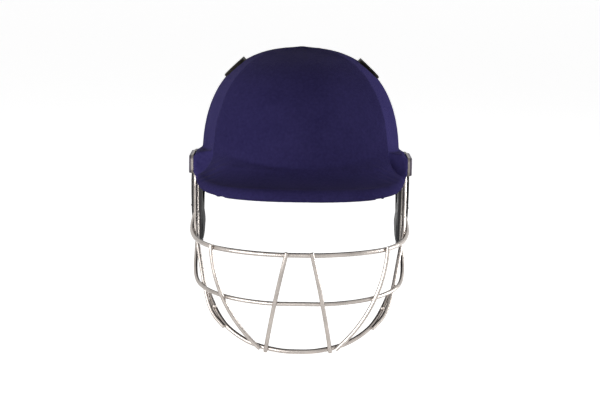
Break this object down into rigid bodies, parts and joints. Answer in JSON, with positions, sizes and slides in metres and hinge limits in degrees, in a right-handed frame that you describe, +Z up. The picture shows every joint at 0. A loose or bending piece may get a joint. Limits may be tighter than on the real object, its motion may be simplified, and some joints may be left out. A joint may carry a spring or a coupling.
{
  "type": "cricket helmet",
  "caption": "Cloth covered cricket helmet with a peak, side bosses, ear guards and a welded steel wire face guard, with a dial-adjusted cradle and chin strap inside",
  "frame": {"origin": "centre of the bounding box's footprint, under the face guard's lowest wire", "axes": "+Z up as worn, the face looks along -Y, +X is the wearer's left"},
  "size_m": [0.2212, 0.2857, 0.2836],
  "materials": {
    "shell_plastic": "moulded ABS, fine grain",
    "cover_cloth": "navy stretch knit, bonded over the moulding",
    "edge_rubber": "satin extruded edging",
    "vent_plastic": "black moulded vent",
    "liner_foam": "dark expanded polystyrene bead foam",
    "pad_fabric": "black brushed tricot over foam",
    "guard_plastic": "black moulded plastic, satin",
    "ear_foam": "black cloth faced foam",
    "guard_steel": "satin nickel plated steel wire and plate",
    "washer_metal": "satin grey coated plate",
    "screw_steel": "zinc plated screw",
    "insert_brass": "knurled brass insert",
    "fit_plastic": "black nylon moulding",
    "dial_plastic": "soft touch dial",
    "strap_webbing": "black woven webbing",
    "buckle_plastic": "black acetal buckle",
    "cup_leather": "black soft leather cup"
  },
  "bodies": {
    "helmet": {"outer_shell": "shell_plastic", "cloth_cover": "cover_cloth", "rim_binding": "edge_rubber", "vent_frame_left": "vent_plastic", "vent_frame_right": "vent_plastic", "vent_mesh_left": "vent_plastic", "vent_mesh_right": "vent_plastic", "liner_left": "liner_foam", "liner_right": "liner_foam", "brow_pad": "pad_fabric", "crown_pad": "pad_fabric", "side_pad_left": "pad_fabric", "side_pad_right": "pad_fabric", "ear_guard_left": "guard_plastic", "ear_guard_right": "guard_plastic", "ear_pad_left": "ear_foam", "ear_pad_right": "ear_foam", "ear_guard_screws": "screw_steel", "bracket_inserts": "insert_brass", "pivot_screws": "screw_steel", "clamp_screws": "screw_steel", "washer_plate_left": "washer_metal", "washer_plate_right": "washer_metal", "band_guides": "fit_plastic", "strap_hangers": "fit_plastic"},
    "face_guard": {"top_bar": "guard_steel", "middle_bar": "guard_steel", "bottom_bar": "guard_steel", "centre_upright_left": "guard_steel", "centre_upright_right": "guard_steel", "cheek_upright_left": "guard_steel", "cheek_upright_right": "guard_steel", "side_upright_left": "guard_steel", "side_upright_right": "guard_steel", "bracket_plate_left": "guard_steel", "bracket_plate_right": "guard_steel"},
    "fit_cradle": {"band_left": "fit_plastic", "band_right": "fit_plastic", "nape_plate": "fit_plastic", "nape_pad": "pad_fabric", "dial_housing": "fit_plastic"},
    "fit_dial": {"size_dial": "dial_plastic", "dial_pinion": "fit_plastic"},
    "chin_strap": {"strap_left": "strap_webbing", "strap_right": "strap_webbing", "buckle_socket": "buckle_plastic", "buckle_plug": "buckle_plastic", "strap_slide": "buckle_plastic", "chin_cup": "cup_leather"}
  },
  "joints": [
    {"name": "guard_tilt", "type": "hinge", "parent": "helmet", "child": "face_guard", "pos_m": [0, -0.0345, 0.1718], "axis": [1, 0, 0], "range_deg": [-4, 4]},
    {"name": "strap_swing", "type": "hinge", "parent": "helmet", "child": "chin_strap", "pos_m": [0, 0.0375, 0.15305], "axis": [1, 0, 0], "range_deg": [0, 150]},
    {"name": "cradle_slide", "type": "slide", "parent": "helmet", "child": "fit_cradle", "axis": [0, -1, 0], "range_m": [0, 0.012]},
    {"name": "dial_turn", "type": "hinge", "parent": "fit_cradle", "child": "fit_dial", "pos_m": [0, 0.13, 0.13405], "axis": [0, 1, 0], "range_deg": [0, 270]}
  ],
  "couplings": [
    {"joint": "dial_turn", "follows": "cradle_slide", "rad_per_m": 392}
  ]
}
